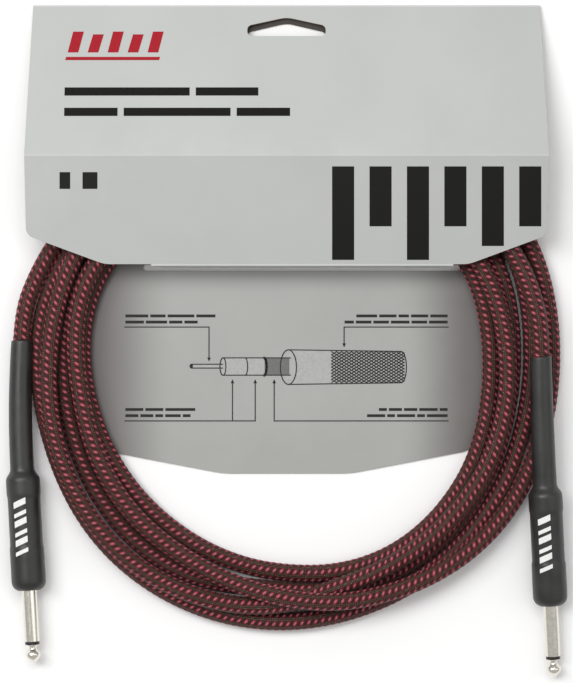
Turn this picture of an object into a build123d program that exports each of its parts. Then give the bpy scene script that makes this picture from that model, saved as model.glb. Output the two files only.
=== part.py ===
from build123d import *
import os
from math import asin, atan2, cos, degrees, hypot, pi, radians, sin, sqrt, tan

# Coiled instrument cable with a straight two-pole plug at each end, held in a folded card sleeve.
# Millimetres. The coil lies flat: X to the right, Y towards the sleeve's ridge, Z up from the surface
# that it lies on, and the origin is on that surface, under the middle of the sleeve and the plugs.

# ---- Card sleeve ----
card = 0.6  # thickness of the board
fold_gap = 0.15  # from a fold's axis to each panel's face
fold_edge = 0.2  # from a fold's axis to each panel's edge
ridge_y = 141.2
ridge_half_width = 106.9
crease_y = 77.7
crease_half_width = 109.4
sleeve_height = 18.6  # top face of the front panel
tab_fold_y = 32.05
front_straight_half_width = 76.0  # straight part of the front panel's lower edge
ear_y = 44.3  # where each rounded ear meets the front panel's side
ear_radius = 4.5
back_neck_y, back_neck_half_width = 26.0, 88.0
back_foot_y, back_foot_half_width = -45.5, 80.0
back_bottom_y, back_bottom_half_width = -55.7, 27.0
hole_bottom_y = 128.4  # straight lower edge of the hang hole, on the header
hole_half_width = 16.5
hole_end_height, hole_height = 4.6, 8.4
back_hole_drop = 2.5  # the back panel's hole sits this much lower than the header's
slot_x, slot_half_width = 6.5, 67.0
slot_low_y, slot_high_y = 29.8, 32.4
tab_half_width, tab_end_half_width = 63.0, 58.0
tab_end_z = 0.9  # the tab ends over its slot

# ---- Cable ----
cable_radius = 3.75
layer_radii = {  # outer and inner radius of each layer
    "conductor": (0.38, 0.0),
    "inner_dielectric": (1.30, 0.40),
    "outer_dielectric": (2.05, 1.32),
    "spiral_shield": (2.35, 2.07),
    "pvc_jacket": (3.40, 2.37),
    "tweed_braid": (cable_radius, 3.42),
}
layer_starts = {  # where each layer is stripped back to, along the plug's axis
    "conductor": 15.2,
    "inner_dielectric": 19.5,
    "outer_dielectric": 22.0,
    "spiral_shield": 24.5,
    "pvc_jacket": 27.0,
    "tweed_braid": 34.0,
}

# ---- Coil ----
coil_base = card
coil_hole = (0.65, -9.0, 81.5, 85.0)  # centre X, centre Y, half width, half height
coil_low = (2.5, -12.5, 105.5, 110.5)  # the single layer of turns round the outside
coil_high = (-1.0, -13.25, 101.0, 99.75)  # the nested double layer
coil_low_top, coil_high_top = 8.1, 15.1

# ---- Plug, along its own axis: 0 at the front of the heat-shrink, minus towards the tip ----
shaft_radius = 6.35 / 2
tip_end = -30.6
tip_flat_radius, tip_cone_length = 1.45, 3.5  # flat end of the tip, and its cone back to the full radius
tip_neck_radius, tip_foot_radius = 1.65, 2.2  # the groove that the socket's spring drops into
tip_neck_length, tip_foot_length = 1.4, 0.5
ring_front, ring_back = -22.9, -21.6  # the insulating ring between tip and sleeve
ring_radius = 3.0
shoulder_radius = 3.6  # the sleeve inside the heat-shrink's front
flange_front, flange_back = 1.2, 3.2
flange_radius = 5.7
thread_radius, thread_end = 4.9, 10.2
rod_radius, rivet_radius = 1.2, 1.9
insulator_bore, insulator_radius = 1.22, 2.18
shaft_bore = 2.2
terminal_end = thread_end + 0.7
washer_end = terminal_end + 0.7
lug_end = washer_end + 0.5
rivet_end = lug_end + 0.8
terminal_radius, washer_radius, lug_radius = 4.4, 3.6, 2.6
arm_y, arm_width, arm_thickness = -4.1, 3.0, 0.6  # the sleeve terminal's arm
crimp_start, crimp_end = 27.0, 33.0
crimp_radius, crimp_bore = 3.95, 3.45
lug_arm_y, lug_tongue_y, lug_tongue_end = 1.95, 0.42, 18.0  # the tip lug steps in to a tongue
lug_thickness, lug_half_width = 0.5, 1.0
lug_step_start, lug_step_end = washer_end + 2.0, washer_end + 3.6
pigtail_radius = 0.5
pigtail_leave, pigtail_bend_start, pigtail_bend_end, pigtail_end = 24.5, 23.2, 21.2, 18.4
pigtail_root_y, pigtail_tip_y = -2.6, -3.28
tip_joint_z, sleeve_joint_z = 16.6, 19.0  # the two solder joints
barrel_end, barrel_throat_start = 46.5, 44.3
barrel_bore, barrel_throat = 5.0, 3.85
collar_radius, waist_radius = 6.4, 6.1  # the barrel's outside
waist_start, waist_end, waist_slope = 18.1, 39.8, 0.6
liner_start, liner_end = 11.0, 44.0
liner_radius, liner_bore = 4.95, 4.75
shrink_wall, shrink_fit = 0.8, 0.02
nose_rounding, nose_lip = 3.0, 0.4  # the heat-shrink's rounded front, and its edge at the shaft
boot_radius, boot_middle_radius, boot_mouth_radius = 5.0, 4.85, 4.45
boot_bore = cable_radius + 0.03
bend_start, boot_end = 50.5, 105.0
boot_length = boot_end - bend_start

# Where each plug lies: the front of its heat-shrink, its heading left of +Y, its tilt up,
# and how far its boot bends to the right, in degrees.
plug_places = {
    "left": ((-108.1, -104.4, 7.2), 3.3, 0.0, 6.3),
    "right": ((111.0, -110.7, 6.95), 3.1, 4.6, 1.8),
}
# The free cable's routes from each boot's mouth on into the coil.
left_route = [
    (-105.7, 27.5, 5.4),
    (-97.0, 42.5, 4.4),
    (-85.0, 56.5, 4.4),
    (-70.5, 68.5, 4.4),
    (-54.0, 79.0, 4.4),
    (-36.5, 87.0, 4.4),
    (-18.0, 91.5, 4.4),
]
right_route = [
    (103.6, 17.0, 15.2),
    (99.2, 30.0, 13.1),
    (91.5, 42.5, 11.9),
    (81.0, 54.5, 11.5),
    (68.0, 65.5, 11.4),
    (52.5, 74.0, 11.4),
    (36.0, 79.5, 11.4),
    (19.0, 82.0, 11.4),
]
first_run = 12.5  # straight out of each boot


def save(solid, label):
    """Write one finished piece as its own STEP file."""
    solid.label = label
    export_step(solid, f"parts/{label}.step")


def turned(*profile):
    """A solid of revolution about the plug's axis, from (radius, place) points."""
    with BuildPart() as piece:
        with BuildSketch(Plane.XZ):
            with BuildLine():
                Polyline(*profile, close=True)
            make_face()
        revolve(axis=Axis.Z)
    return piece


# ---------------------------------------------------------------- plug pieces, in the plug's own frame

with BuildPart() as tip:
    with BuildSketch(Plane.XZ):
        with BuildLine():
            FilletPolyline(
                (0, tip_end),
                (tip_flat_radius, tip_end),
                (shaft_radius, tip_end + tip_cone_length),
                (tip_neck_radius, ring_front - tip_foot_length - tip_neck_length),
                (tip_neck_radius, ring_front - tip_foot_length),
                (tip_foot_radius, ring_front - tip_foot_length),
                (tip_foot_radius, ring_front),
                (rod_radius, ring_front),
                (rod_radius, lug_end),
                (rivet_radius, lug_end),
                (rivet_radius, rivet_end),
                (0, rivet_end),
                radius=[0, 1.1, 0.9, 0.4, 0, 0, 0, 0, 0, 0, 0.3, 0],
                close=True,
            )
        make_face()
    revolve(axis=Axis.Z)

with BuildPart() as tip_insulator:
    with BuildSketch(Plane.XZ):
        with BuildLine():
            Polyline(
                (insulator_bore, ring_front),
                (ring_radius, ring_front),
                (ring_radius, ring_back),
                (insulator_radius, ring_back),
                (insulator_radius, terminal_end),
                (insulator_bore, terminal_end),
                close=True,
            )
        make_face()
    revolve(axis=Axis.Z)

sleeve = turned(
    (shaft_bore, ring_back),
    (shaft_radius, ring_back),
    (shaft_radius, 0),
    (shoulder_radius, 0),
    (shoulder_radius, flange_front),
    (flange_radius, flange_front),
    (flange_radius, flange_back),
    (thread_radius, flange_back),
    (thread_radius, thread_end),
    (shaft_bore, thread_end),
)

with BuildPart() as sleeve_terminal:
    with BuildSketch(Plane.XY.offset(thread_end)):
        Circle(terminal_radius)
        Circle(shaft_bore, mode=Mode.SUBTRACT)
    extrude(amount=terminal_end - thread_end)
    with BuildSketch(Plane.XY.offset(thread_end)):
        with Locations((0, arm_y)):
            Rectangle(arm_width, arm_thickness)
    extrude(amount=crimp_end - thread_end)
    with BuildSketch(Plane.XY.offset(crimp_start)):
        Circle(crimp_radius)
        Circle(crimp_bore, mode=Mode.SUBTRACT)
        with Locations((0, crimp_radius)):
            Rectangle(2 * crimp_bore, crimp_radius / 2, mode=Mode.SUBTRACT)
    extrude(amount=crimp_end - crimp_start)

rear_insulator = turned(
    (insulator_bore, terminal_end),
    (washer_radius, terminal_end),
    (washer_radius, washer_end),
    (insulator_bore, washer_end),
)

with BuildPart() as tip_lug:
    with BuildSketch(Plane.XY.offset(washer_end)):
        Circle(lug_radius)
        Circle(insulator_bore, mode=Mode.SUBTRACT)
    extrude(amount=lug_end - washer_end)
    with BuildSketch(Plane.YZ):
        with BuildLine():
            Polyline(
                (lug_arm_y, washer_end),
                (lug_arm_y + lug_thickness, washer_end),
                (lug_arm_y + lug_thickness, lug_step_start),
                (lug_tongue_y + lug_thickness, lug_step_end),
                (lug_tongue_y + lug_thickness, lug_tongue_end),
                (lug_tongue_y, lug_tongue_end),
                (lug_tongue_y, lug_step_end - 0.6 * lug_thickness),
                (lug_arm_y, lug_step_start - 0.6 * lug_thickness),
                close=True,
            )
        make_face()
    extrude(amount=lug_half_width, both=True)

barrel = turned(
    (barrel_bore, flange_back),
    (collar_radius, flange_back),
    (collar_radius, waist_start),
    (waist_radius, waist_start + waist_slope),
    (waist_radius, waist_end - waist_slope),
    (collar_radius, waist_end),
    (collar_radius, barrel_end),
    (barrel_throat, barrel_end),
    (barrel_throat, barrel_throat_start),
    (barrel_bore, barrel_throat_start),
)

barrel_liner = turned(
    (liner_bore, liner_start), (liner_radius, liner_start), (liner_radius, liner_end), (liner_bore, liner_end)
)

with BuildPart() as shield_pigtail:
    with BuildLine():
        FilletPolyline(
            (0, pigtail_root_y, pigtail_leave),
            (0, pigtail_root_y, pigtail_bend_start),
            (0, pigtail_tip_y, pigtail_bend_end),
            (0, pigtail_tip_y, pigtail_end),
            radius=4 * pigtail_radius,
        )
    with BuildSketch(Plane((0, pigtail_root_y, pigtail_leave))):
        Circle(pigtail_radius)
    sweep()


def solder(centre_y, centre_z, radius, half_length, *inside):
    """A rounded blob of solder about the axis at centre_y, with the pieces that it holds cut out."""
    with BuildPart() as blob:
        with BuildSketch(Plane.YZ):
            with Locations((centre_y, centre_z)):
                Ellipse(radius, half_length)
            with Locations((centre_y - radius, centre_z)):
                Rectangle(2 * radius, 2 * half_length, mode=Mode.SUBTRACT)
        revolve(axis=Axis((0, centre_y, 0), (0, 0, 1)))
        for piece in inside:
            add(piece.part, mode=Mode.SUBTRACT)
    return blob


def cable_layer(outer, inner, start, bend):
    """One layer of the cable, from where it is stripped back to the boot's mouth, along the boot's bend."""
    axis_x = boot_length / radians(bend)
    with BuildPart() as layer:
        with BuildSketch(Plane.XY.offset(start)):
            Circle(outer)
            if inner:
                Circle(inner, mode=Mode.SUBTRACT)
        extrude(amount=bend_start - start)
        with BuildSketch(Plane.XY.offset(bend_start)):
            Circle(outer)
            if inner:
                Circle(inner, mode=Mode.SUBTRACT)
        revolve(axis=Axis((axis_x, 0, bend_start), (0, 1, 0)), revolution_arc=bend)
    return layer


def boot_plane(bend, share=1.0):
    """The plane across the boot, in the plug's frame, this share of the way round its bend."""
    axis_x, turn = boot_length / radians(bend), radians(bend * share)
    return Plane(
        origin=(axis_x * (1 - cos(turn)), 0, bend_start + axis_x * sin(turn)),
        x_dir=(cos(turn), 0, -sin(turn)),
        z_dir=(sin(turn), 0, cos(turn)),
    )


def heat_shrink(bend):
    """The black cover: rounded front, barrel with its two collars, shoulder, and a bent, tapered boot."""
    outside_rounding = [nose_lip, nose_rounding, 0.6, 0.6, 0.6, 0.6, 1.2]
    with BuildPart() as cover:
        with BuildSketch(Plane.XZ):
            with BuildLine():
                FilletPolyline(
                    (shoulder_radius + shrink_fit, 0),
                    (collar_radius + shrink_wall, 0),
                    (collar_radius + shrink_wall, waist_start),
                    (waist_radius + shrink_wall, waist_start + waist_slope),
                    (waist_radius + shrink_wall, waist_end - waist_slope),
                    (collar_radius + shrink_wall, waist_end),
                    (collar_radius + shrink_wall, barrel_end + 0.5),
                    (boot_radius, bend_start),
                    (boot_bore, bend_start),
                    (collar_radius + shrink_fit, barrel_end),
                    (collar_radius + shrink_fit, waist_end),
                    (waist_radius + shrink_fit, waist_end - waist_slope),
                    (waist_radius + shrink_fit, waist_start + waist_slope),
                    (collar_radius + shrink_fit, waist_start),
                    (collar_radius + shrink_fit, flange_back),
                    (flange_radius + shrink_fit, flange_back),
                    (flange_radius + shrink_fit, flange_front),
                    (shoulder_radius + shrink_fit, flange_front),
                    radius=outside_rounding + [0] * 11,
                    close=True,
                )
            make_face()
        revolve(axis=Axis.Z)
        for share, radius in ((0.0, boot_radius), (0.5, boot_middle_radius), (1.0, boot_mouth_radius)):
            with BuildSketch(boot_plane(bend, share)):
                Circle(radius)
        loft()
        axis_x = boot_length / radians(bend)
        with BuildSketch(Plane.XY.offset(bend_start)):
            Circle(boot_bore)
        revolve(axis=Axis((axis_x, 0, bend_start), (0, 1, 0)), revolution_arc=bend, mode=Mode.SUBTRACT)
    return cover


def plug_plane(start, heading, tilt):
    """The plug's frame: its Z runs back along the plug, and its X is to the right, seen from above."""
    h, t = radians(heading), radians(tilt)
    return Plane(
        origin=start,
        x_dir=(cos(h), sin(h), 0),
        z_dir=(-sin(h) * cos(t), cos(h) * cos(t), sin(t)),
    )


# ---------------------------------------------------------------- card sleeve

ridge_z = card + fold_gap
fold_span = hypot(ridge_y - crease_y, sleeve_height - ridge_z)
header_tilt = degrees(atan2(sleeve_height - ridge_z, ridge_y - crease_y) - asin((card + fold_gap) / fold_span))
header_length = sqrt(fold_span**2 - (card + fold_gap) ** 2)
header_plane = Plane(
    origin=(0, ridge_y, ridge_z),
    x_dir=(1, 0, 0),
    z_dir=(0, sin(radians(header_tilt)), cos(radians(header_tilt))),
)


def hang_hole(plane, bottom):
    """A cutter for the hang hole: straight along the bottom, rounded ends, and a low peak in the middle."""
    with BuildPart() as cutter:
        with BuildSketch(plane):
            with BuildLine():
                FilletPolyline(
                    (-hole_half_width, bottom),
                    (hole_half_width, bottom),
                    (hole_half_width, bottom + hole_end_height),
                    (0, bottom + hole_height),
                    (-hole_half_width, bottom + hole_end_height),
                    radius=[2.0, 2.0, 2.2, 12.0, 2.2],
                    close=True,
                )
            make_face()
        extrude(amount=3 * card, both=True)
    return cutter.part


with BuildPart() as back_panel:
    with BuildSketch():
        with BuildLine():
            FilletPolyline(
                (-ridge_half_width, ridge_y - fold_edge),
                (-ridge_half_width, ear_y + 16),
                (-back_neck_half_width, back_neck_y),
                (-back_foot_half_width, back_foot_y),
                (-back_bottom_half_width, back_bottom_y),
                (back_bottom_half_width, back_bottom_y),
                (back_foot_half_width, back_foot_y),
                (back_neck_half_width, back_neck_y),
                (ridge_half_width, ear_y + 16),
                (ridge_half_width, ridge_y - fold_edge),
                radius=[0, 12, 12, 9, 40, 40, 9, 12, 12, 0],
                close=True,
            )
        make_face()
        with Locations((slot_x, (slot_low_y + slot_high_y) / 2)):
            SlotOverall(2 * slot_half_width, slot_high_y - slot_low_y, mode=Mode.SUBTRACT)
    extrude(amount=card)
    add(hang_hole(Plane.XY, hole_bottom_y - back_hole_drop), mode=Mode.SUBTRACT)

with BuildPart() as header_panel:
    with BuildSketch(header_plane.offset(fold_gap)):
        with BuildLine():
            Polyline(
                (-ridge_half_width, -fold_edge),
                (ridge_half_width, -fold_edge),
                (crease_half_width, fold_edge - header_length),
                (-crease_half_width, fold_edge - header_length),
                close=True,
            )
        make_face()
    extrude(amount=card)
    header_hole_bottom = (hole_bottom_y - ridge_y) / cos(radians(header_tilt))
    add(hang_hole(header_plane.offset(fold_gap), header_hole_bottom), mode=Mode.SUBTRACT)

with BuildPart() as front_panel:
    with BuildSketch(Plane.XY.offset(sleeve_height - card)):
        with BuildLine():
            FilletPolyline(
                (-crease_half_width, crease_y - fold_edge),
                (-crease_half_width + 0.8, ear_y),
                (-front_straight_half_width, tab_fold_y + fold_edge),
                (front_straight_half_width, tab_fold_y + fold_edge),
                (crease_half_width - 0.8, ear_y),
                (crease_half_width, crease_y - fold_edge),
                radius=[0, ear_radius, 15, 15, ear_radius, 0],
                close=True,
            )
        make_face()
    extrude(amount=card)

with BuildPart() as tuck_tab:
    with BuildSketch(Plane.XZ.offset(fold_gap - tab_fold_y)):
        with BuildLine():
            tab_top_z = sleeve_height - card - fold_gap - fold_edge
            FilletPolyline(
                (slot_x - tab_half_width, tab_top_z),
                (slot_x + tab_half_width, tab_top_z),
                (slot_x + tab_end_half_width, tab_end_z),
                (slot_x - tab_end_half_width, tab_end_z),
                radius=[0, 0, 4, 4],
                close=True,
            )
        make_face()
    extrude(amount=card)

# ---------------------------------------------------------------- coil and the cable's two leads


with BuildPart() as coil:
    for (x, y, half_width, half_height), top in ((coil_low, coil_low_top), (coil_high, coil_high_top)):
        with BuildSketch(Plane.XY.offset(coil_base)):
            with Locations((x, y)):
                Ellipse(half_width, half_height)
            with Locations(coil_hole[:2]):
                Ellipse(*coil_hole[2:], mode=Mode.SUBTRACT)
        extrude(amount=top - coil_base)


def bend_radii(route):
    """The largest tangent arc at each corner: 0.45 of its shorter run, over the tangent of half its turn."""
    radii = []
    for before, here, after in zip(route, route[1:], route[2:]):
        run_in, run_out = Vector(here) - Vector(before), Vector(after) - Vector(here)
        half_turn = radians(run_in.get_angle(run_out)) / 2
        radii.append(0.45 * min(run_in.length, run_out.length) / tan(half_turn))
    return radii


def lead(mouth, route):
    """The cable's tube, from the plane at a boot's mouth along straight runs and tangent arcs."""
    start = mouth.origin
    points = [start, start + mouth.z_dir * first_run, *route]
    radii = bend_radii(points)
    with BuildPart() as tube:
        with BuildLine() as path:
            FilletPolyline(*points, radius=radii)
        with BuildSketch(mouth):
            Circle(cable_radius)
        sweep()
    length = sum(edge.length for edge in path.edges())
    expected = pi * cable_radius**2 * length
    print("lead length", round(length, 1), "radii", [round(r) for r in radii])
    print("volume over section times length", round(tube.part.volume / expected, 4))
    return tube


# ---------------------------------------------------------------- write every piece

os.makedirs("parts", exist_ok=True)

for panel, label in (
    (back_panel, "back_panel"),
    (header_panel, "header_panel"),
    (front_panel, "front_panel"),
    (tuck_tab, "tuck_tab"),
    (coil, "cable_coil"),
):
    save(panel.part, label)

for side, (start, heading, tilt, bend) in plug_places.items():
    frame = plug_plane(start, heading, tilt)
    layers = {
        name: cable_layer(outer, inner, layer_starts[name], bend)
        for name, (outer, inner) in layer_radii.items()
    }
    pieces = {
        "tip": tip,
        "tip_insulator": tip_insulator,
        "sleeve": sleeve,
        "sleeve_terminal": sleeve_terminal,
        "rear_insulator": rear_insulator,
        "tip_lug": tip_lug,
        "barrel": barrel,
        "barrel_liner": barrel_liner,
        "heat_shrink": heat_shrink(bend),
        "shield_pigtail": shield_pigtail,
        "tip_solder": solder(0, tip_joint_z, 0.9, 1.3, layers["conductor"], tip_lug),
        "sleeve_solder": solder(pigtail_tip_y, sleeve_joint_z, 0.95, 1.2, shield_pigtail, sleeve_terminal),
        **layers,
    }
    for name, piece in pieces.items():
        save(piece.part.moved(frame.location), f"{side}_{name}")
    local_mouth = boot_plane(bend)
    mouth_frame = Plane(
        origin=frame.from_local_coords(local_mouth.origin),
        x_dir=frame.from_local_coords(local_mouth.origin + local_mouth.x_dir)
        - frame.from_local_coords(local_mouth.origin),
        z_dir=frame.from_local_coords(local_mouth.origin + local_mouth.z_dir)
        - frame.from_local_coords(local_mouth.origin),
    )
    print(side, "mouth", mouth_frame.origin, mouth_frame.z_dir)
    save(lead(mouth_frame, left_route if side == "left" else right_route).part, f"{side}_lead")
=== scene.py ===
import math

import bmesh
import bpy
import numpy as np
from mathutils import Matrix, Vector, noise


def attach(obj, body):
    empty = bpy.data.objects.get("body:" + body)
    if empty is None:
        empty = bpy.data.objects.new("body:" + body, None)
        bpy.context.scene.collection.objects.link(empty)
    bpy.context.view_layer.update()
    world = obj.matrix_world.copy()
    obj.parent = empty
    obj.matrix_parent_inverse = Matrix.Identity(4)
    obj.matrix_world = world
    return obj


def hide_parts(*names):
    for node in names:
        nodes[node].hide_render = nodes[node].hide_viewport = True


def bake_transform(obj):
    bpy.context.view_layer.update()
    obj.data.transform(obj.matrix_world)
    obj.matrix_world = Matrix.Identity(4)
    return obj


# Looks of a coiled, tweed-braided instrument cable in a folded card sleeve.
# The scene is in metres. Sizes here are in millimetres, and are multiplied by MM where they are used. The
# plugs' places, the two leads' routes, the lights and the camera are in metres as they stand.

MM = 0.001

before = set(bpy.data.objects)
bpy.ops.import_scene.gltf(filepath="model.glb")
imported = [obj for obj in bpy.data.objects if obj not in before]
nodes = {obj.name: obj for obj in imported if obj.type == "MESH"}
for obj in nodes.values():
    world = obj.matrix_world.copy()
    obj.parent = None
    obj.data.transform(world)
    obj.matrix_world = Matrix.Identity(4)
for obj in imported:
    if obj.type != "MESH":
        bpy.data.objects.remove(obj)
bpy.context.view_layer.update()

# ---------------------------------------------------------------- sizes shared with the frame
cable_radius = 3.75
card_thickness = 0.6
ridge_y, ridge_z = 141.2, 0.75
crease_y, sleeve_height = 77.7, 18.6
header_tilt = math.radians(15.05)
tab_fold_y, tab_fold_z = 32.05, 17.85
fold_edge, fold_inner, fold_outer = 0.2, 0.15, 0.75

# Each plug: the front of its heat-shrink, heading left of +Y, tilt up, and the boot's bend to the right.
plug_places = {
    "left": ((-0.1081, -0.1044, 0.0072), 3.3, 0.0, 6.3),
    "right": ((0.1110, -0.1107, 0.00695), 3.1, 4.6, 1.8),
}
bend_start, boot_end = 50.5, 105.0

# Control points of the two leads, from each boot to the coil.
left_route = [
    (-0.1052, 0.0275, 0.0054),
    (-0.0968, 0.0425, 0.0044),
    (-0.0850, 0.0565, 0.0044),
    (-0.0705, 0.0685, 0.0044),
    (-0.0540, 0.0790, 0.0044),
    (-0.0365, 0.0870, 0.0044),
    (-0.0180, 0.0915, 0.0044),
]
right_route = [
    (0.1036, 0.0170, 0.0152),
    (0.0992, 0.0300, 0.0131),
    (0.0915, 0.0425, 0.0119),
    (0.0810, 0.0545, 0.0115),
    (0.0680, 0.0655, 0.0114),
    (0.0525, 0.0740, 0.0114),
    (0.0360, 0.0795, 0.0114),
    (0.0190, 0.0820, 0.0114),
]
first_run = 0.0125  # straight out of each boot


# ---------------------------------------------------------------- materials
class Graph:
    """Short calls that build one material's nodes around its Principled shader."""

    def __init__(self, name):
        self.material = bpy.data.materials.new(name)
        self.material.use_nodes = True
        self.tree = self.material.node_tree
        self.shader = self.tree.nodes["Principled BSDF"]

    def set(self, **values):
        """Constants for the shader's inputs, with an underscore for each space in an input's name."""
        for name, value in values.items():
            self.shader.inputs[name.replace("_", " ")].default_value = value

    def node(self, kind, *sources, **settings):
        made = self.tree.nodes.new(kind)
        for name, value in settings.items():
            setattr(made, name, value)
        for socket, source in zip(made.inputs, sources):
            self.feed(socket, source)
        return made

    def feed(self, socket, source):
        if isinstance(source, bpy.types.NodeSocket):
            self.tree.links.new(source, socket)
        elif source is not None:
            socket.default_value = source

    def math(self, operation, *values):
        return self.node("ShaderNodeMath", *values, operation=operation).outputs[0]

    def ramp(self, value, low, high, start=0.0, end=1.0):
        """Smooth step from start to end as value goes from low to high."""
        sources = (value, low, high, start, end)
        return self.node("ShaderNodeMapRange", *sources, interpolation_type="SMOOTHSTEP").outputs[0]

    def mix(self, factor, first, second):
        made = self.node("ShaderNodeMix", data_type="RGBA")
        for name, source in (("Factor_Float", factor), ("A_Color", first), ("B_Color", second)):
            self.feed(next(s for s in made.inputs if s.identifier == name), source)
        return next(s for s in made.outputs if s.identifier == "Result_Color")

    def noise(self, scale, detail=2.0, roughness=0.5):
        made = self.node("ShaderNodeTexNoise")
        self.feed(made.inputs["Vector"], self.node("ShaderNodeTexCoord").outputs["Object"])
        self.feed(made.inputs["Scale"], scale)
        self.feed(made.inputs["Detail"], detail)
        self.feed(made.inputs["Roughness"], roughness)
        return made.outputs[0]

    def colour(self, source):
        self.feed(self.shader.inputs["Base Color"], source)

    def rough(self, source):
        self.feed(self.shader.inputs["Roughness"], source)

    def bump(self, height, strength, distance):
        made = self.node("ShaderNodeBump")
        self.feed(made.inputs["Height"], height)
        self.feed(made.inputs["Strength"], strength)
        self.feed(made.inputs["Distance"], distance)
        self.feed(self.shader.inputs["Normal"], made.outputs[0])


braid_columns, braid_pitch, braid_slant = 6, 2.92, -0.36
dash_across, dash_along = 0.33, 0.29  # half sizes of a red dash, as shares of its column and of the pitch


def braid_material():
    """Red weft dashes in six staggered columns, on olive and near-black yarns with a fine pale fleck, with
    a painted highlight in each dash's middle and painted shade in the gaps between dashes.
    """
    g = Graph("tweed_braid")
    uv = g.node("ShaderNodeSeparateXYZ", g.node("ShaderNodeUVMap", uv_map="braid").outputs[0]).outputs
    around = g.math("MULTIPLY", uv[0], braid_columns)
    column = g.math("FLOOR", around)
    across = g.math("SUBTRACT", g.math("FRACT", around), 0.5)
    stagger = g.math("MULTIPLY", g.math("PINGPONG", column, 1.0), 0.5)
    slanted = g.math("MULTIPLY", across, braid_slant * 2)
    along = g.math("ADD", g.math("ADD", uv[1], stagger), slanted)
    place = g.math("SUBTRACT", g.math("FRACT", along), 0.5)
    wide = g.math("POWER", g.math("ABSOLUTE", g.math("DIVIDE", across, dash_across)), 2.0)
    tall = g.math("POWER", g.math("ABSOLUTE", g.math("DIVIDE", place, dash_along)), 2.0)
    spread = g.math("ADD", wide, tall)
    dash = g.ramp(spread, 1.45, 0.45)
    painted_highlight = g.ramp(spread, 0.60, 0.0)
    gap = g.ramp(g.math("ABSOLUTE", place), 0.30, 0.42)
    in_column = g.ramp(g.math("ABSOLUTE", across), 0.42, 0.26)

    fine = g.math("MULTIPLY", uv[1], 2.0)
    turns = g.math("MULTIPLY", uv[0], 15.0)
    left_hand = g.math("SINE", g.math("MULTIPLY", g.math("ADD", turns, fine), 2 * math.pi))
    right_hand = g.math("SINE", g.math("MULTIPLY", g.math("SUBTRACT", turns, fine), 2 * math.pi))
    weave = g.math("MULTIPLY", left_hand, right_hand)
    fleck_noise = g.noise(900.0, 1.0)
    yarn = g.mix(g.ramp(weave, -0.5, 0.5), (0.006, 0.003, 0.002, 1), (0.100, 0.056, 0.038, 1))
    fleck = g.math("MULTIPLY", g.ramp(fleck_noise, 0.58, 0.70), g.ramp(weave, 0.0, 0.7))
    yarn = g.mix(g.math("MULTIPLY", fleck, 0.8), yarn, (0.34, 0.20, 0.17, 1))
    shade = g.noise(420.0, 2.0)
    red = g.mix(g.ramp(shade, 0.35, 0.65), (0.095, 0.006, 0.014, 1), (0.235, 0.022, 0.038, 1))
    # painted highlight: the middle of each dash is mixed towards pale pink
    red = g.mix(g.math("MULTIPLY", painted_highlight, 0.80), red, (0.50, 0.155, 0.18, 1))
    between = g.mix(g.math("MULTIPLY", in_column, 0.75), yarn, (0.060, 0.006, 0.010, 1))
    # painted shade: the gaps between the dashes of a column darken towards near-black
    painted_gap_shade = g.math("MULTIPLY", g.math("MULTIPLY", gap, in_column), 0.55)
    between = g.mix(painted_gap_shade, between, (0.010, 0.005, 0.004, 1))
    g.colour(g.mix(dash, between, red))
    g.rough(g.ramp(shade, 0.3, 0.7, 0.56, 0.72))
    fibres = g.math("MULTIPLY", g.noise(5200.0, 1.0), 0.25)
    height = g.math("ADD", g.math("MULTIPLY", dash, 0.8), g.math("MULTIPLY", weave, 0.18))
    g.bump(g.math("ADD", height, fibres), 0.7, 0.00022)
    g.set(Sheen_Weight=0.05, Sheen_Roughness=0.45, Specular_IOR_Level=0.22)
    return g.material


def card_material(name, tint, gloss=0.42, painted_shade_tint=None):
    """Coated board: faint mottle and fibre under a satin coat. If a last tint is given, the colour deepens
    to it
    from 46 to 80 mm off the middle: painted shade, with a painted red reflection of the nearby cable."""
    g = Graph(name)
    mottle = g.ramp(g.noise(26.0, 3.0), 0.25, 0.75)
    dark = tuple(0.95 * c for c in tint) + (1,)
    colour = g.mix(mottle, dark, tint + (1,))
    if painted_shade_tint:
        # painted shade and a painted red reflection of the cable, deepening towards the panel's left and
        # right
        place = g.node("ShaderNodeSeparateXYZ", g.node("ShaderNodeTexCoord").outputs["Object"]).outputs
        colour = g.mix(g.ramp(g.math("ABSOLUTE", place[0]), 0.046, 0.080), colour, painted_shade_tint + (1,))
    g.colour(colour)
    g.rough(g.ramp(g.noise(160.0, 3.0), 0.2, 0.8, gloss - 0.05, gloss + 0.08))
    g.bump(g.noise(2600.0, 3.0), 0.10, 0.00008)
    g.set(Specular_IOR_Level=0.4)
    return g.material


def kraft_material():
    """The uncoated cut edge of the board."""
    g = Graph("kraft_edge")
    fibre = g.ramp(g.noise(1800.0, 3.0), 0.3, 0.7)
    g.colour(g.mix(fibre, (0.30, 0.21, 0.13, 1), (0.48, 0.37, 0.25, 1)))
    g.set(Roughness=0.85)
    g.bump(g.noise(3000.0, 2.0), 0.4, 0.00010)
    return g.material


def ink_material(name, tint, roughness=0.5):
    """Dull printing ink, a little uneven."""
    g = Graph(name)
    g.colour(g.mix(g.ramp(g.noise(900.0, 2.0), 0.3, 0.7), tuple(0.9 * c for c in tint) + (1,), tint + (1,)))
    g.set(Roughness=roughness, Specular_IOR_Level=0.12)
    return g.material


def rubber_material():
    """Satin black heat-shrink with a fine grain and faint handling marks."""
    g = Graph("heat_shrink")
    cloud = g.noise(95.0, 4.0, 0.6)
    g.colour(g.mix(g.ramp(cloud, 0.3, 0.7), (0.016, 0.016, 0.0155, 1), (0.026, 0.0255, 0.0245, 1)))
    g.rough(g.ramp(cloud, 0.3, 0.7, 0.36, 0.47))
    g.bump(g.math("ADD", g.noise(2400.0, 2.0), g.math("MULTIPLY", g.noise(260.0, 2.0), 0.8)), 0.16, 0.00012)
    g.set(Specular_IOR_Level=0.55)
    return g.material


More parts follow.
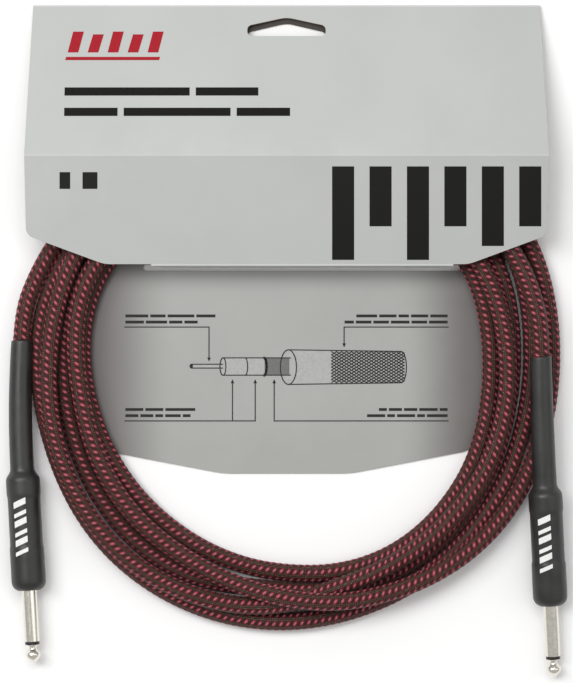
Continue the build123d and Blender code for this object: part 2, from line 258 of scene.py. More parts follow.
def metal_material(name, tint, roughness):
    """Plated or bare metal with fine scuffs."""
    g = Graph(name)
    scuff = g.noise(900.0, 3.0)
    g.colour(g.mix(g.ramp(scuff, 0.3, 0.7), tuple(0.93 * c for c in tint) + (1,), tint + (1,)))
    g.rough(g.ramp(scuff, 0.3, 0.7, roughness * 0.8, roughness * 1.25))
    g.bump(g.noise(3200.0, 2.0), 0.06, 0.00005)
    g.set(Metallic=1.0)
    return g.material


def plain_material(name, tint, roughness):
    """A moulded or extruded plastic, or cloth, inside the plug."""
    g = Graph(name)
    mottle = g.ramp(g.noise(1200.0, 3.0), 0.3, 0.7)
    g.colour(g.mix(mottle, tuple(0.85 * c for c in tint) + (1,), tint + (1,)))
    g.rough(g.ramp(g.noise(2400.0, 2.0), 0.3, 0.7, roughness - 0.05, roughness + 0.08))
    g.bump(g.noise(2400.0, 2.0), 0.15, 0.00008)
    return g.material


braid = braid_material()
front_card = card_material("card_front", (0.432, 0.440, 0.426))
header_card = card_material("card_header", (0.485, 0.498, 0.480))
# painted shade and a painted red reflection of the coil, darker and redder from 46 to 80 mm off the middle
inner_card = card_material("card_inner", (0.385, 0.390, 0.372), 0.36, (0.150, 0.137, 0.133))
# painted shade: near-black card for the back panel deep under the header, standing in for the shadow there
painted_shade_card = card_material("card_painted_shade", (0.050, 0.042, 0.036), 0.6)
fold_card = card_material("card_fold", (0.56, 0.572, 0.56))
kraft = kraft_material()
dark_ink = ink_material("ink_dark", (0.0055, 0.005, 0.0045), 0.42)
red_ink = ink_material("ink_red", (0.38, 0.012, 0.022), 0.40)
grey_ink = ink_material("ink_grey", (0.17, 0.17, 0.165), 0.5)
pale_ink = ink_material("ink_pale", (0.43, 0.436, 0.42), 0.45)
line_ink = ink_material("ink_line", (0.026, 0.026, 0.025), 0.5)
white_ink = ink_material("ink_white", (0.86, 0.86, 0.84), 0.45)
rubber = rubber_material()
nickel = metal_material("nickel", (0.88, 0.84, 0.76), 0.20)
ring_plastic = plain_material("ring_plastic", (0.014, 0.013, 0.012), 0.42)
terminal_metal = metal_material("terminal_metal", (0.72, 0.70, 0.66), 0.3)
copper = metal_material("copper", (0.80, 0.42, 0.28), 0.3)
solder = metal_material("solder", (0.66, 0.66, 0.68), 0.28)
dielectric = plain_material("dielectric", (0.80, 0.80, 0.76), 0.4)


# ---------------------------------------------------------------- mesh helpers
def grid_mesh(name, rows, materials, wrap=True, caps=False, uv=None):
    """A mesh from rows of points, shape (rows, columns, 3), closed round each row if wrap."""
    rows = np.asarray(rows, float)
    count, width = rows.shape[:2]
    index = np.arange(count * width).reshape(count, width)
    ahead = np.roll(index, -1, axis=1)
    last = width if wrap else width - 1
    quads = np.stack([index[:-1], ahead[:-1], ahead[1:], index[1:]], axis=-1)[:, :last].reshape(-1, 4)
    faces = quads.tolist()
    if caps:
        faces += [index[0][::-1].tolist(), index[-1].tolist()]
    mesh = bpy.data.meshes.new(name)
    mesh.from_pydata(rows.reshape(-1, 3).tolist(), [], faces)
    if uv:
        along, label = uv
        layer = mesh.uv_layers.new(name=label)
        corner_u = np.stack([np.arange(width), np.arange(width) + 1] * 2, -1)[:, [0, 1, 3, 2]] / width
        row = np.arange(count - 1)
        corner_v = np.stack([along[row], along[row], along[row + 1], along[row + 1]], -1)
        both = np.empty((count - 1, last, 4, 2))
        both[..., 0] = corner_u[None, :last]
        both[..., 1] = corner_v[:, None]
        capped = np.zeros(2 * len(layer.data))
        capped[: both.size] = both.reshape(-1)
        layer.data.foreach_set("uv", capped.astype(np.float32))
    return finish_mesh(name, mesh, materials)


def finish_mesh(name, mesh, materials):
    mesh.validate()
    mesh.shade_smooth()
    return add_object(name, mesh, materials)


def add_object(name, mesh, materials):
    made = bpy.data.objects.new(name, mesh)
    bpy.context.scene.collection.objects.link(made)
    for material in materials:
        mesh.materials.append(material)
    return made


# ---------------------------------------------------------------- camera, light and floor
view_height, view_width = 1.4, 0.28686  # distance to the cable's plane, and what the long side takes in
cable_plane = 0.008
camera_data = bpy.data.cameras.new("camera")
camera_data.lens = camera_data.sensor_width * view_height / view_width
camera = bpy.data.objects.new("camera", camera_data)
camera.location = (0, 0, view_height + cable_plane)
camera_data.clip_start, camera_data.clip_end = 0.05, 20
bpy.context.scene.collection.objects.link(camera)
bpy.context.scene.camera = camera
bpy.context.scene.view_settings.view_transform = "Standard"


def area_light(name, place, target, size, power):
    data = bpy.data.lights.new(name, "AREA")
    data.shape = "RECTANGLE"
    data.size, data.size_y = size
    data.energy = power
    light = bpy.data.objects.new(name, data)
    light.location = place
    light.rotation_euler = (Vector(target) - Vector(place)).to_track_quat("-Z", "Y").to_euler()
    bpy.context.scene.collection.objects.link(light)


area_light("softbox_left", (-0.70, 0.35, 1.35), (0, 0, 0), (0.5, 0.9), 11.0)
area_light("softbox_right", (0.95, 0.0, 1.15), (0, 0, 0), (0.4, 1.2), 2.0)
area_light("softbox_top", (-0.05, 0.65, 1.5), (0, 0.02, 0), (0.9, 0.5), 6.0)

world = bpy.data.worlds.new("studio")
world.use_nodes = True
world.node_tree.nodes["Background"].inputs["Color"].default_value = (0.97, 0.97, 0.96, 1)
world.node_tree.nodes["Background"].inputs["Strength"].default_value = 0.50
bpy.context.scene.world = world

floor_graph = Graph("floor")
floor_graph.colour(floor_graph.mix(floor_graph.noise(3.0), (0.96, 0.96, 0.96, 1), (0.98, 0.98, 0.98, 1)))
floor_graph.set(Roughness=0.9)
floor_reach, floor_height = 10.0, -0.0002
floor = grid_mesh(
    "floor",
    [[(x, y, floor_height) for x in (-floor_reach, floor_reach)] for y in (-floor_reach, floor_reach)],
    [floor_graph.material],
    wrap=False,
)

# ---------------------------------------------------------------- the cable's route
coil_centre = np.array([1.5, -5.7])
low, high, highest = 4.4, 11.6, 16.8  # heights of the centreline: lower layer, upper layer, and the most
coil_step = 10  # degrees from one control point to the next

# Each turn from the top of the coil, clockwise: (angle, radius, height) where it changes course.
coil_turns = [
    [(90, 99.5, low), (55, 107.3, low), (25, 110.9, low), (0, 110.0, 4.2), (-15, 110.6, 3.9),
     (-30, 111.9, 4.4), (-45, 111.5, 10.4), (-60, 109.2, 12.0), (-72, 106.4, 13.5), (-83, 103.6, 15.8),
     (-92, 101.4, 15.0), (-105, 97.8, 11.6), (-120, 94.9, 10.6), (-135, 93.5, 11.1), (-150, 91.4, high),
     (-165, 89.3, high), (-205, 90.3, high), (-235, 80.0, 8.5)],
    [(90, 76.4, low), (55, 79.5, low), (25, 84.3, low), (0, 84.5, low), (-15, 86.2, low), (-30, 89.6, low),
     (-45, 92.2, low), (-60, 94.1, low), (-75, 94.0, low), (-90, 92.1, low), (-120, 88.6, low),
     (-165, 86.8, low), (-205, 88.0, low), (-235, 82.5, 6.0)],
    [(90, 80.3, 10.8), (55, 84.5, 10.8), (25, 88.4, 11.0), (0, 91.0, 11.2), (-30, 94.9, 11.0),
     (-48, 96.2, 10.9), (-64, 97.4, 11.0), (-77, 99.3, 11.0), (-85, 101.4, 10.6), (-92, 104.4, 10.4),
     (-100, 106.5, 10.6), (-110, 108.1, high), (-120, 108.9, high), (-135, 108.6, high),
     (-150, 106.4, high), (-165, 103.6, high), (-180, 100.8, 11.4), (-205, 99.1, 11.2), (-235, 97.5, 10.8)],
    [(90, 91.8, low), (55, 98.3, low), (25, 103.3, low), (0, 101.8, 3.9), (-15, 102.4, 3.9),
     (-30, 104.5, 3.8), (-45, 106.9, 3.8), (-60, 108.8, 3.8), (-75, 110.6, 3.8), (-90, 112.2, 3.8),
     (-105, 112.8, 3.8), (-120, 112.3, 3.8), (-135, 111.0, 3.8), (-150, 108.3, 3.8), (-165, 106.2, 3.8),
     (-180, 106.2, 3.9), (-195, 105.6, 3.9), (-205, 104.6, 4.2), (-235, 96.0, low)],
    [(90, 84.1, low), (55, 89.5, low), (25, 94.8, low), (0, 93.5, low), (-15, 94.3, low), (-30, 97.0, low),
     (-45, 99.6, 4.0), (-60, 101.4, 3.9), (-75, 101.0, 3.8), (-90, 99.0, 3.8), (-98, 98.5, 3.8),
     (-108, 100.9, 3.8), (-120, 102.2, 3.8), (-135, 101.1, 3.9), (-150, 98.9, 4.0), (-165, 96.6, 4.2),
     (-180, 95.2, low), (-205, 93.7, low), (-235, 86.5, 5.5)],
    [(90, 88.0, 10.8)],
]


def smooth_through(places, values, wanted):
    """Values at the wanted places on a smooth curve through the given ones (cubic Hermite)."""
    slopes = np.gradient(values, places)
    k = np.clip(np.searchsorted(places, wanted, side="right") - 1, 0, len(places) - 2)
    span = places[k + 1] - places[k]
    t = (wanted - places[k]) / span
    return (
        values[k] * (1 + 2 * t) * (1 - t) ** 2
        + values[k + 1] * t**2 * (3 - 2 * t)
        + slopes[k] * span * t * (1 - t) ** 2
        + slopes[k + 1] * span * t**2 * (t - 1)
    )


def resting_height(x, y):
    """The centreline's lowest height: on the card where the card is under it, else on the floor."""
    card_half_width = np.interp(y, [-55.7, -45.5, 26.0, 60.0], [27.0, 80.0, 88.0, 106.9])
    card = (np.abs(x) < card_half_width + 1.0) & (y > -55.7)
    return cable_radius + 0.02 + np.where(card, card_thickness, 0.0)


def settle(turned, radius, height, held):
    """Push strands that share an angle apart until they only touch, keeping each one smooth."""
    per_turn = 360 // coil_step
    angle = np.radians(turned)
    spacing = 2 * cable_radius + 0.12
    for _ in range(160):
        push = np.zeros((2, len(radius)))
        for gap in range(per_turn, len(radius), per_turn):
            apart = np.array([radius[gap:] - radius[:-gap], height[gap:] - height[:-gap]])
            distance = np.maximum(np.hypot(*apart), 0.01)
            step = np.clip(spacing - distance, 0, None) / 2 * apart / distance
            push[:, gap:] += step
            push[:, :-gap] -= step
        push = np.array([np.convolve(p, [0.2, 0.6, 0.2], "same") for p in push]) * ~held
        radius = radius + 0.6 * push[0]
        height = height + 0.6 * push[1]
        x = coil_centre[0] + radius * np.cos(angle)
        y = coil_centre[1] + radius * np.sin(angle)
        height = np.where(held, height, np.clip(height, resting_height(x, y), highest))
    return radius, height


def coil_points(before, after):
    """The coil's control points, between a lead that comes before it and one that goes on after it."""
    stations = np.array([
        (angle - 360 * turn, radius, height)
        for turn, course in enumerate(coil_turns)
        for angle, radius, height in course
    ])
    whole = [polar(p, 0) for p in before] + stations.tolist()
    whole += [polar(p, len(coil_turns) - 1) for p in after]
    whole = np.array(whole)[::-1]
    first, last = 90, 90 - 360 * (len(coil_turns) - 1)
    turned = np.arange(170, last - 90, -coil_step)
    radius, height = (smooth_through(whole[:, 0], whole[:, k], turned) for k in (1, 2))
    free = (turned <= first) & (turned >= last)
    radius, height = settle(turned, radius, height, ~free)
    angle = np.radians(turned[free])
    radius = radius[free] / math.cos(math.radians(coil_step / 2))
    x = coil_centre[0] + radius * np.cos(angle)
    y = coil_centre[1] + radius * np.sin(angle)
    return np.stack([x, y, height[free]], -1) * MM


def polar(point, turn):
    """(angle, radius, height) in degrees and millimetres about the coil's centre, in that turn."""
    x, y, z = (c / MM for c in point)
    angle = math.degrees(math.atan2(y - coil_centre[1], x - coil_centre[0]))
    return angle - 360 * turn, math.hypot(x - coil_centre[0], y - coil_centre[1]), z


def plug_axes(side):
    """Origin, right, down and back directions of a plug."""
    start, heading, tilt, _ = plug_places[side]
    h, t = math.radians(heading), math.radians(tilt)
    right = Vector((math.cos(h), math.sin(h), 0))
    back = Vector((-math.sin(h) * math.cos(t), math.cos(h) * math.cos(t), math.sin(t)))
    return Vector(start), right, back.cross(right), back


def on_plug(side, distance):
    """The plug's centre this many millimetres back along it, and its right, down and back directions."""
    origin, right, down, back = plug_axes(side)
    if distance <= bend_start:
        return origin + back * distance * MM, right, down, back
    reach = (boot_end - bend_start) / math.radians(plug_places[side][3])
    turn = (distance - bend_start) / reach
    sideways, forward = reach * (1 - math.cos(turn)), bend_start + reach * math.sin(turn)
    centre = origin + (right * sideways + back * forward) * MM
    aside = right * math.cos(turn) - back * math.sin(turn)
    return centre, aside, down, back * math.cos(turn) + right * math.sin(turn)


def mouth_points(side):
    """The first two control points of the cable that leaves this plug's boot."""
    centre, _, _, back = on_plug(side, boot_end)
    return [tuple(centre), tuple(centre + back * first_run)]


left_lead = mouth_points("left") + left_route
right_lead = mouth_points("right") + right_route
route = left_lead + coil_points(left_lead[1:], right_lead[:0:-1]).tolist() + right_lead[::-1]


def spline_points(points):
    """Points along the smooth NURBS line that has these control points."""
    data = bpy.data.curves.new("route", "CURVE")
    data.dimensions = "3D"
    data.resolution_u = 12
    spline = data.splines.new("NURBS")
    spline.points.add(len(points) - 1)
    for control, point in zip(spline.points, points):
        control.co = (*point, 1)
    spline.order_u = 3
    spline.use_endpoint_u = True
    line = bpy.data.objects.new("route", data)
    mesh = bpy.data.meshes.new_from_object(line)
    made = np.array([v.co for v in mesh.vertices])
    bpy.data.objects.remove(line)
    bpy.data.meshes.remove(mesh)
    return made


def evenly(points, spacing):
    """The same line, with points this far apart, and the distance along it of each."""
    steps = np.linalg.norm(np.diff(points, axis=0), axis=1)
    along = np.concatenate([[0], np.cumsum(steps)])
    wanted = np.linspace(0, along[-1], int(along[-1] / spacing) + 1)
    return np.stack([np.interp(wanted, along, points[:, k]) for k in range(3)], -1), wanted


def braided_tube(line, along, across=24):
    """Rows of points round the line, with each red dash standing proud and the gaps between them sunk.

    The columns of dashes wander slowly round the cable, because it was twisted when it was coiled.
    """
    tangent = np.gradient(line, axis=0)
    tangent /= np.linalg.norm(tangent, axis=1)[:, None]
    side = np.empty_like(line)
    side[0] = np.cross(tangent[0], (0, 0, 1))
    for k in range(1, len(line)):
        side[k] = side[k - 1] - tangent[k] * (side[k - 1] @ tangent[k])
        side[k] /= np.linalg.norm(side[k])
    up = np.cross(side, tangent)
    turn = np.arange(across) / across
    column = turn * braid_columns
    offset = column % 1 - 0.5
    pitch = along[:, None] / (braid_pitch * MM)
    place = (pitch + 0.5 * (np.floor(column) % 2) + 2 * braid_slant * offset) % 1 - 0.5
    raised = 0.38  # half size of the raised patch under a dash, as a share of its column and of the pitch
    dash = np.clip(1.1 - (np.abs(offset) / raised) ** 2.6 - (np.abs(place) / raised) ** 2.6, 0, 1)
    radius = (cable_radius - 0.14 + 0.26 * dash) * MM
    wander = 0.5 + 0.55 * np.sin(along / 0.23) + 0.3 * np.sin(along / 0.093 + 1.0)
    angle = 2 * math.pi * (turn + wander[:, None] / braid_columns)
    return (
        line[:, None]
        + (radius * np.cos(angle))[..., None] * side[:, None]
        + (radius * np.sin(angle))[..., None] * up[:, None]
    )


cable_line, cable_along = evenly(spline_points(route), 0.57 * MM)
print("cable length", round(float(cable_along[-1]), 3))
cable = grid_mesh(
    "cable",
    braided_tube(cable_line, cable_along),
    [braid],
    caps=True,
    uv=(cable_along / (braid_pitch * MM), "braid"),
)
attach(cable, "root")
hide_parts("cable_coil", "left_lead", "right_lead")


# ---------------------------------------------------------------- plugs
shrink_profile = [  # (distance along, radius) of the heat-shrink's outside
    (0.0, 3.70), (0.0, 4.9), (0.35, 5.6), (1.1, 6.35), (2.1, 6.92), (3.2, 7.18), (5.0, 7.22), (16.9, 7.20),
    (17.8, 7.16), (18.5, 6.97), (19.4, 6.90), (30.0, 6.88), (38.8, 6.90), (39.4, 6.98), (40.0, 7.14),
    (41.0, 7.20), (46.2, 7.18), (47.2, 7.02), (48.2, 6.45), (49.4, 5.55), (50.5, 5.12), (52.0, 5.02),
    (60.0, 4.98), (78.0, 4.85), (95.0, 4.62), (103.5, 4.50), (104.8, 4.44),
]


def heat_shrink(side):
    """The black cover as one soft skin with shrink ripples, a thin rim, and a slightly slanted cut."""
    places, radii = np.array(shrink_profile).T
    outside = [(0.0, r) for r in (3.70, 4.3)]
    outside += [(z, float(np.interp(z, places[1:], radii[1:]))) for z in np.arange(0.0, 104.85, 0.6)]
    rim = [(105.0, 4.40), (105.05, 4.25), (105.0, 3.98), (104.6, 3.84), (101.0, 3.80)]
    rows = []
    around = np.arange(64) / 64 * 2 * math.pi
    for z, r in outside + rim:
        centre, right, down, back = on_plug(side, min(z, boot_end))
        ripple = 0.035 * noise.noise(Vector((z * 0.16, 3.0 if side == "left" else 9.0, 0.0)))
        slant = 0.35 * max(0.0, (z - 96.0) / 9.0)
        row = []
        for a in around:
            grain = 0.03 * noise.noise(Vector((math.cos(a) * 2.0, math.sin(a) * 2.0, z * 0.09)))
            size = (r + ripple + grain) * MM
            lean = back * (slant * math.cos(a) * MM)
            row.append(centre + right * (size * math.cos(a)) - down * (size * math.sin(a)) + lean)
        rows.append([tuple(p) for p in row])
    made = grid_mesh(f"{side}_shrink_skin", np.array(rows), [rubber])
    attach(made, "root")
    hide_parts(f"{side}_heat_shrink")
    return made


def barrel_mark(side):
    """Plain slanted white bars printed along the barrel."""
    rows, faces, points = 12, [], []
    for number in range(6):
        start, thick = 14.5 + 4.0 * number, 2.6 if number % 2 else 1.7
        base = len(points)
        for k in range(rows):
            turn = -0.62 + 0.78 * k / (rows - 1)
            for edge in (0.0, thick):
                z = start + edge + 2.2 * k / (rows - 1)
                radius = float(np.interp(z, *np.array(shrink_profile[1:]).T)) + 0.09
                centre, right, down, _ = on_plug(side, z)
                points.append(centre + (right * math.sin(turn) - down * math.cos(turn)) * radius * MM)
        faces += [(k, k + 1, k + 3, k + 2) for k in range(base, base + 2 * (rows - 1), 2)]
    mesh = bpy.data.meshes.new(f"{side}_mark")
    mesh.from_pydata([tuple(p) for p in points], [], faces)
    made = finish_mesh(f"{side}_mark", mesh, [white_ink])
    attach(made, "root")
    return made


tip_profile = [  # (distance along, radius) of the tip: nose, bulb, neck, foot, centre rod and rivet
    (-30.6, 0.30), (-30.52, 0.62), (-30.3, 0.98), (-29.9, 1.42), (-29.3, 2.02), (-28.7, 2.58),
    (-28.2, 2.92), (-27.7, 3.10), (-27.2, 3.16), (-26.7, 3.09), (-26.2, 2.84), (-25.7, 2.42),
    (-25.3, 2.02), (-24.9, 1.74), (-24.5, 1.64), (-24.0, 1.63), (-23.7, 1.72), (-23.5, 1.95),
    (-23.38, 2.20), (-22.9, 2.20), (-22.9, 1.20), (12.1, 1.20), (12.1, 1.90), (12.9, 1.90),
]


def plug_tip(side):
    """The nickel tip as one turned piece, with a rounder bulb than the solid it stands for."""
    rows = []
    around = np.arange(72) / 72 * 2 * math.pi
    for z, r in tip_profile:
        centre, right, down, _ = on_plug(side, z)
        rows.append([tuple(centre + (right * math.cos(a) - down * math.sin(a)) * r * MM) for a in around])
    made = grid_mesh(f"{side}_turned_tip", np.array(rows), [nickel], caps=True)
    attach(made, "root")
    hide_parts(f"{side}_tip")
    return made


plug_materials = {
    "sleeve": nickel,
    "tip_insulator": ring_plastic,
    "sleeve_terminal": terminal_metal,
    "tip_lug": terminal_metal,
    "rear_insulator": ring_plastic,
    "barrel": metal_material("barrel_metal", (0.60, 0.60, 0.60), 0.35),
    "barrel_liner": plain_material("liner", (0.55, 0.55, 0.52), 0.5),
    "shield_pigtail": copper,
    "tip_solder": solder,
    "sleeve_solder": solder,
    "conductor": copper,
    "inner_dielectric": dielectric,
    "outer_dielectric": dielectric,
    "spiral_shield": copper,
    "pvc_jacket": plain_material("jacket", (0.02, 0.02, 0.02), 0.5),
    "tweed_braid": plain_material("braid_end", (0.20, 0.03, 0.045), 0.7),
}


def dress(node, material):
    """Give a CAD node that stays in view this material alone."""
    data = nodes[node].data
    data.materials.clear()
    data.materials.append(material)


for side in plug_places:
    for piece, material in plug_materials.items():
        dress(f"{side}_{piece}", material)
    heat_shrink(side)
    barrel_mark(side)
    plug_tip(side)


# ---------------------------------------------------------------- card sleeve
def front_bow(x, y):
    """How far the front panel stands off its plane, in millimetres."""
    inside = np.clip((crease_y - y) / 20, 0, 1) * np.clip((y - tab_fold_y) / 14, 0, 1)
    return 0.25 * inside * (1 - (x / 110) ** 2)


def header_bow(x, y):
    """A low swelling just above the crease, fading to nothing at the ridge and the crease."""
    above = np.clip((y - crease_y) / 7, 0, 1)
    fade = np.clip((ridge_y - y) / 60, 0, 1)
    return 0.75 * above * fade**2 * np.clip(1 - (x / 105) ** 2, 0, 1)


def back_bow(x, y):
    """Soft upright waves in the back panel, inside the coil."""
    inside = np.clip(1 - (x / 88) ** 2, 0, 1) * np.clip((30 - y) / 20, 0, 1) * np.clip((y + 55) / 20, 0, 1)
    return inside * (0.9 + 0.25 * np.sin(x / 11.0 + 0.6))


def header_top(y):
    """The header panel's upper face, before it is bowed."""
    return sleeve_height - (y - crease_y) * math.tan(header_tilt)


def cut_into_cells(bm, spacing=6.0):
    """Cut every face along a regular X and Y grid, so that it can follow a bowed surface."""
    for axis, (low_edge, high_edge) in ((0, (-115, 115)), (1, (-60, 145))):
        for place in np.arange(low_edge, high_edge, spacing):
            normal = (1, 0, 0) if axis == 0 else (0, 1, 0)
            point = [0, 0, 0]
            point[axis] = place * MM
            geometry = bm.verts[:] + bm.edges[:] + bm.faces[:]
            bmesh.ops.bisect_plane(bm, geom=geometry, plane_co=point, plane_no=normal, dist=1e-7)


# painted shade: above this Y the back panel is coloured near-black for the shadow deep under the header
painted_shade_from = 90.0  # the back panel is dark above this Y, deep under the header


def bowed_panel(name, node, bow, materials, body):
    """The card node's own outline, cut into cells and bowed.

    The materials are for its faces, its cut edges and, if there is a third, its faces past
    painted_shade_from, where the third material is painted shade.
    """
    bm = bmesh.new()
    bm.from_mesh(nodes[node].data)
    bmesh.ops.remove_doubles(bm, verts=bm.verts, dist=1e-6)
    bmesh.ops.dissolve_limit(bm, angle_limit=0.01, verts=bm.verts, edges=bm.edges)
    cut_into_cells(bm)
    for face in bm.faces:
        flat = abs(face.normal.z) > 0.5
        # faces deep under the header take the third material, which is painted shade
        dark = len(materials) > 2 and face.calc_center_median().y > painted_shade_from * MM
        face.material_index = (2 if dark else 0) if flat else 1
        face.smooth = flat
    for vertex in bm.verts:
        vertex.co.z += float(bow(vertex.co.x / MM, vertex.co.y / MM)) * MM
    for edge in bm.edges:
        edge.smooth = len(edge.link_faces) == 2 and edge.calc_face_angle(0) < 0.6
    mesh = bpy.data.meshes.new(name)
    bm.to_mesh(mesh)
    bm.free()
    made = add_object(name, mesh, materials)
    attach(made, body)
    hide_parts(node)


bowed_panel("back_board", "back_panel", back_bow, [inner_card, kraft, painted_shade_card], "root")
bowed_panel("header_board", "header_panel", header_bow, [header_card, kraft], "header")
bowed_panel("front_board", "front_panel", front_bow, [front_card, kraft], "front_flap")
dress("tuck_tab", front_card)


ridge_half_width, crease_half_width = 106.9, 109.4
tab_half_width, tab_middle = 63.0, 6.5


def fold_strip(name, outer, inner, half_width, middle, body_a, body_b, start, end):
    """The board round a fold: outer and inner are (y, z) lines across it, in millimetres."""
    loop = outer + inner[::-1]
    xs = np.linspace(middle - half_width, middle + half_width, 40)
    rows = [[(x * MM, y * MM, z * MM) for y, z in loop] for x in xs]
    made = grid_mesh(name, rows, [fold_card], caps=True)
    made.data.shade_flat()
    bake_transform(made)


def arc(centre_y, centre_z, radius, start, end, count=12):
    """Points on an arc in the YZ plane, angles in degrees from +Y towards +Z."""
    angles = np.radians(np.linspace(start, end, count))
    return [(centre_y + radius * math.cos(a), centre_z + radius * math.sin(a)) for a in angles]


ridge_turn = (-90, 90 - math.degrees(header_tilt))
header_run = (-math.cos(header_tilt) * fold_edge, math.sin(header_tilt) * fold_edge)
ridge_lines = []
for radius in (fold_outer, fold_inner):
    bend = arc(ridge_y, ridge_z, radius, *ridge_turn)
    on_back = (ridge_y - fold_edge, ridge_z - radius)
    on_header = (bend[-1][0] + header_run[0], bend[-1][1] + header_run[1])
    ridge_lines.append([on_back, *bend, on_header])
fold_strip(
    "ridge_strip", *ridge_lines, ridge_half_width, 0, "root", "header",
    (0, ridge_y, 0.1), (0, ridge_y, 1.4),
)

header_normal = (math.sin(header_tilt), math.cos(header_tilt))
across = [(1 - k / 4) for k in range(5)]
crease_top = [(crease_y - header_run[0] * s, sleeve_height - header_run[1] * s) for s in across]
crease_top += [(crease_y - fold_edge * s / 4, sleeve_height) for s in range(1, 5)]
crease_under = [
    (y - card_thickness * header_normal[0] * k, z - card_thickness * (header_normal[1] * k + 1 - k))
    for (y, z), k in zip(crease_top, np.linspace(1, 0, 9))
]
fold_strip(
    "crease_strip", crease_top, crease_under, crease_half_width, 0, "header", "front_flap",
    (0, crease_y + fold_edge, sleeve_height), (0, crease_y - fold_edge, sleeve_height),
)

tab_lines = []
for radius in (fold_outer, fold_inner):
    bend = arc(tab_fold_y, tab_fold_z, radius, 90, 180, 8)
    tab_lines.append([
        (tab_fold_y + fold_edge, tab_fold_z + radius),
        *bend,
        (tab_fold_y - radius, tab_fold_z - fold_edge),
    ])
fold_strip(
    "tab_strip", *tab_lines, tab_half_width, tab_middle, "front_flap", "tab",
    (0, tab_fold_y + fold_edge, sleeve_height), (0, tab_fold_y - fold_outer, tab_fold_z - fold_edge),
)


# ---------------------------------------------------------------- printing
def bar(x0, y0, x1, y1):
    return [(x0, y0), (x1, y0), (x1, y1), (x0, y1)]


def slanted_bar(x0, y0, x1, y1, lean):
    return [(x0, y0), (x1, y0), (x1 + lean, y1), (x0 + lean, y1)]


def stroke(points, width):
    """A line drawn as bars of this width."""
    made = []
    for (x0, y0), (x1, y1) in zip(points, points[1:]):
        length = math.hypot(x1 - x0, y1 - y0)
        dx, dy = (x1 - x0) / length * width / 2, (y1 - y0) / length * width / 2
        made.append([
            (x0 - dx - dy, y0 - dy + dx), (x0 - dx + dy, y0 - dy - dx),
            (x1 + dx + dy, y1 + dy - dx), (x1 + dx - dy, y1 + dy + dx),
        ])
    return made


def oval(cx, cy, rx, ry, start=0, end=360, count=28):
    angles = np.radians(np.linspace(start, end, count))
    return [(cx + rx * math.cos(a), cy + ry * math.sin(a)) for a in angles]


def print_on(name, shapes, surface, lift, material, body):
    """Flat shapes printed on a card surface: surface gives its height in millimetres at (x, y)."""
    bm = bmesh.new()
    for shape in shapes:
        bm.faces.new([bm.verts.new((x * MM, y * MM, 0)) for x, y in shape])
    cut_into_cells(bm)
    for vertex in bm.verts:
        vertex.co.z = (float(surface(vertex.co.x / MM, vertex.co.y / MM)) + lift) * MM
    for face in bm.faces:
        face.smooth = True
    bmesh.ops.recalc_face_normals(bm, faces=bm.faces)
    mesh = bpy.data.meshes.new(name)
    bm.to_mesh(mesh)
    bm.free()
    made = add_object(name, mesh, [material])
    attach(made, body)


def front_surface(x, y):
    return sleeve_height + front_bow(x, y)


def header_surface(x, y):
    return header_top(y) + header_bow(x, y)


def back_surface(x, y):
    return card_thickness + back_bow(x, y)


def greeked_line(x0, x1, y, height, words):
    """A line of print as plain bars, one for each word's share of it."""
    gap = 1.1 * height / 1.5
    room = (x1 - x0) - gap * (len(words) - 1)
    made, x = [], x0
    for word in words:
        width = room * word / sum(words)
        made.append(bar(x, y, x + width, y + height))
        x += width + gap
    return made


ink = 0.05  # how far print stands off the card
emblem = [slanted_bar(-92 + 8.4 * k, 121.5, -87.5 + 8.4 * k, 130.5 - 1.2 * (k % 2), 2.2) for k in range(5)]
emblem.append(slanted_bar(-93.0, 118.2, -53.5, 119.6, 0.4))
print_on("header_emblem", emblem, header_surface, ink, red_ink, "header")
lines = greeked_line(-93.0, -11.8, 103.0, 3.5, (12, 6)) + greeked_line(-93.0, 1.5, 94.3, 3.5, (5, 10, 5))
print_on("header_lines", lines, header_surface, ink, dark_ink, "header")
label = greeked_line(-94.6, -78.8, 63.6, 7.0, (1, 1.4))
print_on("front_label", label, front_surface, ink, dark_ink, "front_flap")
feet = (34.0, 48.0, 34.0, 48.0, 39.8, 48.0)  # the fifth stops short of the ear's slanted edge
scale_bars = [bar(19.0 + 15.6 * k, foot, 28.2 + 15.6 * k, 73.0) for k, foot in enumerate(feet)]
print_on("front_scale_bars", scale_bars, front_surface, ink, dark_ink, "front_flap")

# The line drawing of the cable's layers.
thin = 0.42  # width of a drawn line
layer_low, layer_high = -14.2, -6.9
jacket_low, jacket_high = -18.1, -3.5
pale = [
    bar(-40.0, -11.2, -27.0, -9.6), bar(-27.2, layer_low, -9.4, layer_high),
    oval(1.8, (jacket_low + jacket_high) / 2, 3.3, (jacket_high - jacket_low) / 2),
    bar(1.8, jacket_low, 20.5, jacket_high),
]
print_on("drawing_pale", pale, back_surface, ink, pale_ink, "root")
shield = [bar(-9.2, layer_low, 1.2, layer_high)]
print_on("drawing_shield", shield, back_surface, 2.2 * ink, grey_ink, "root")
outline = stroke([(-40, -9.6), (-27, -9.6)], thin) + stroke([(-40, -11.2), (-27, -11.2)], thin)
outline += stroke([(-27, layer_high), (1.6, layer_high)], thin)
outline += stroke([(-27, layer_low), (1.6, layer_low)], thin)
outline += stroke([(0.6, jacket_high), (48.4, jacket_high - 0.7)], thin)
outline += stroke([(0.6, jacket_low), (48.4, jacket_low + 0.7)], thin)
for x, half, wide in ((-26.6, 3.65, thin), (-17.4, 3.65, thin), (-9.4, 3.65, 2.4 * thin)):
    outline += stroke(oval(x, -10.6, 1.0, half, -90, 90, 9), wide)
outline += stroke(oval(-26.8, -10.6, 1.3, 3.65, 90, 270, 9), thin)
outline += stroke(oval(0.8, -10.8, 3.4, 7.3, 0, 360, 25), thin)
outline += stroke(oval(48.4, -10.8, 2.2, 6.6, -90, 90, 11), thin)
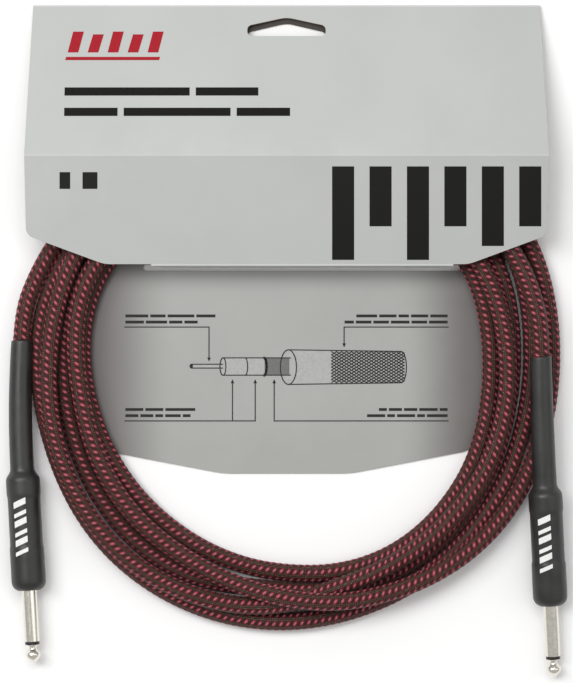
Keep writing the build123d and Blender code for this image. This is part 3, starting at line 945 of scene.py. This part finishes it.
callouts = [
    [(-68.2, 6.1), (-32.7, 6.1), (-32.7, -8.0)],
    [(-68.2, -33.5), (-13.2, -33.5), (-13.2, -16.4)],
    [(-22.8, -33.5), (-22.8, -16.4)],
    [(68.2, 6.1), (24.3, 6.1), (24.3, -2.0)],
    [(68.2, -33.5), (-5.2, -33.5), (-5.2, -16.4)],
]
for course in callouts:
    outline += stroke(course, thin)
    x, y = course[-1]
    back = 1.2 if course[-2][1] > y else -1.2
    outline.append([(x, y - 0.3 * back), (x + 0.75, y + back), (x - 0.75, y + back)])
outline.append(oval(-40.2, -10.4, 0.7, 0.95))
print_on("drawing_lines", outline, back_surface, 3.4 * ink, line_ink, "root")


def hatching(x0, x1, y0, y1, spacing, slope):
    """Crossed slanting lines, clipped to a box."""
    made = []
    for start in np.arange(x0 - abs(y1 - y0) / slope, x1, spacing):
        for direction in (1, -1):
            ends = []
            for y in (y0, y1):
                share = (y - y0) / (y1 - y0) if direction > 0 else (y1 - y) / (y1 - y0)
                ends.append((start + share * (y1 - y0) / slope, y))
            (ax, ay), (bx, by) = sorted(ends)
            t0, t1 = max(0.0, (x0 - ax) / (bx - ax)), min(1.0, (x1 - ax) / (bx - ax))
            if t1 - t0 > 0.05:
                made += stroke([(ax + (bx - ax) * t, ay + (by - ay) * t) for t in (t0, t1)], thin)
    return made


hatch = hatching(19.0, 49.6, jacket_low + 0.8, jacket_high - 0.8, 2.1, 0.62)
print_on("drawing_hatch", hatch, back_surface, 2.8 * ink, line_ink, "root")
captions = [  # (left end, right end, height on the card, share of each word)
    (-68.0, -30.0, 10.2, (6, 4, 7, 5)),
    (-68.0, -37.5, 7.6, (7, 8, 5, 5)),
    (29.5, 68.0, 10.2, (6, 5, 3, 5, 5)),
    (24.5, 68.0, 7.6, (3, 5, 5, 6, 5, 6)),
    (-68.0, -38.5, -29.3, (6, 6, 10)),
    (-68.0, -40.5, -31.9, (5, 5, 3, 6, 3)),
    (39.0, 68.0, -29.3, (3, 5, 5, 7, 3)),
    (34.0, 68.0, -31.9, (7, 3, 7, 3, 8)),
]
words = []
for left, right, y, shares in captions:
    words += greeked_line(left, right, y, 1.2, shares)
print_on("drawing_words", words, back_surface, ink, line_ink, "root")
